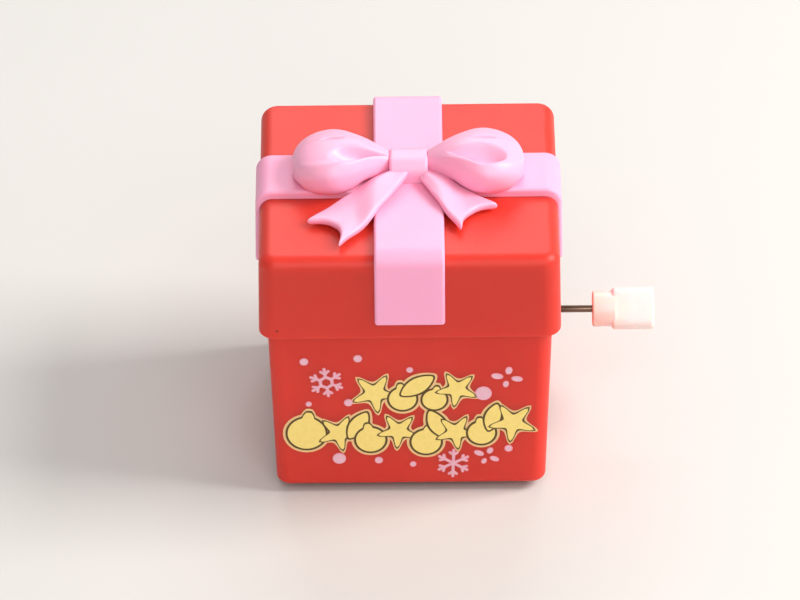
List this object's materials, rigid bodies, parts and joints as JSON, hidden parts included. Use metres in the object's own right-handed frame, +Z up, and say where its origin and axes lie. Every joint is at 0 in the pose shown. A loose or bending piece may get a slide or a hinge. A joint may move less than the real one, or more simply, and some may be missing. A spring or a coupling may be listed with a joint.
{
  "type": "wind-up gift box toy",
  "caption": "Small wind-up present: moulded box and lid with ribbon and bow, driven on hidden wheels by a clockwork motor with a side winding knob.",
  "frame": {"origin": "on the ground, under the centre of the square box, where the wheels touch", "axes": "+Z up; -Y is the printed front and the way it rolls; +X is the side with the winding knob"},
  "size_m": [0.0608, 0.0466, 0.0499],
  "materials": {
    "red_abs": "moulded satin red ABS",
    "red_abs_base": "moulded satin red ABS, fine spark texture",
    "pink_abs": "moulded satin pink ABS",
    "pink_abs_bow": "moulded satin pink ABS",
    "screw_steel": "zinc-plated self-tapping screws",
    "frame_abs": "moulded natural white ABS",
    "spring_steel": "blued and oiled spring strip",
    "acetal": "moulded natural acetal",
    "arbor_steel": "bright drawn steel wire",
    "knob_nylon": "moulded natural nylon, slightly translucent",
    "pin_steel": "bright drawn steel pin",
    "pressed_steel": "stamped steel",
    "axle_steel": "bright drawn steel axle",
    "wheel_abs": "moulded white ABS",
    "tyre_rubber": "moulded black rubber"
  },
  "bodies": {
    "casing": {"box_body": "red_abs", "lid": "red_abs", "ribbon": "pink_abs", "bow": "pink_abs_bow", "base_plate": "red_abs_base", "base_screws": "screw_steel", "frame_left": "frame_abs", "frame_right": "frame_abs", "frame_screws": "screw_steel", "foot_screws": "screw_steel", "mainspring": "spring_steel", "idler_axle": "pin_steel", "second_axle": "pin_steel", "escape_axle": "pin_steel", "pallet_axle": "pin_steel"},
    "drive": {"drive_gear": "acetal", "click_spring": "spring_steel"},
    "winder": {"ratchet_hub": "acetal", "winding_arbor": "arbor_steel", "winding_knob": "knob_nylon"},
    "idler": {"idler_gear": "acetal"},
    "second": {"second_gear": "acetal"},
    "escape": {"escape_wheel": "acetal"},
    "pallet": {"pallet_lever": "pressed_steel"},
    "rear_wheelset": {"rear_axle": "axle_steel", "axle_pinion": "acetal", "rear_wheel_left": "wheel_abs", "rear_wheel_right": "wheel_abs", "rear_tyre_left": "tyre_rubber", "rear_tyre_right": "tyre_rubber"},
    "front_wheelset": {"front_axle": "axle_steel", "front_wheel_left": "wheel_abs", "front_wheel_right": "wheel_abs"}
  },
  "joints": [
    {"name": "run", "type": "hinge", "parent": "casing", "child": "drive", "pos_m": [0, 0, 0.0195], "axis": [1, 0, 0], "range_deg": [0, 1800], "deforming": ["mainspring"]},
    {"name": "wind", "type": "hinge", "parent": "drive", "child": "winder", "pos_m": [0, 0, 0.0195], "axis": [1, 0, 0], "range_deg": [-1800, 0], "deforming": ["mainspring", "click_spring"]},
    {"name": "idler_turn", "type": "hinge", "parent": "casing", "child": "idler", "pos_m": [0, 0.00698, 0.01234], "axis": [1, 0, 0], "continuous": true},
    {"name": "second_turn", "type": "hinge", "parent": "casing", "child": "second", "pos_m": [0, 0.01007, 0.01928], "axis": [1, 0, 0], "continuous": true},
    {"name": "escape_turn", "type": "hinge", "parent": "casing", "child": "escape", "pos_m": [0, 0.008, 0.02701], "axis": [1, 0, 0], "continuous": true},
    {"name": "rear_wheels_turn", "type": "hinge", "parent": "casing", "child": "rear_wheelset", "pos_m": [0, 0.009, 0.0046], "axis": [1, 0, 0], "continuous": true},
    {"name": "pallet_rock", "type": "hinge", "parent": "casing", "child": "pallet", "pos_m": [0, 0.0035, 0.02961], "axis": [1, 0, 0], "range_deg": [-9, 9]},
    {"name": "front_wheels_turn", "type": "hinge", "parent": "casing", "child": "front_wheelset", "pos_m": [0, -0.012, 0.0046], "axis": [1, 0, 0], "continuous": true}
  ],
  "couplings": [
    {"joint": "idler_turn", "follows": "run", "ratio": -4},
    {"joint": "second_turn", "follows": "run", "ratio": 11.2},
    {"joint": "escape_turn", "follows": "run", "ratio": -33.6},
    {"joint": "rear_wheels_turn", "follows": "run", "ratio": 9.3333}
  ]
}
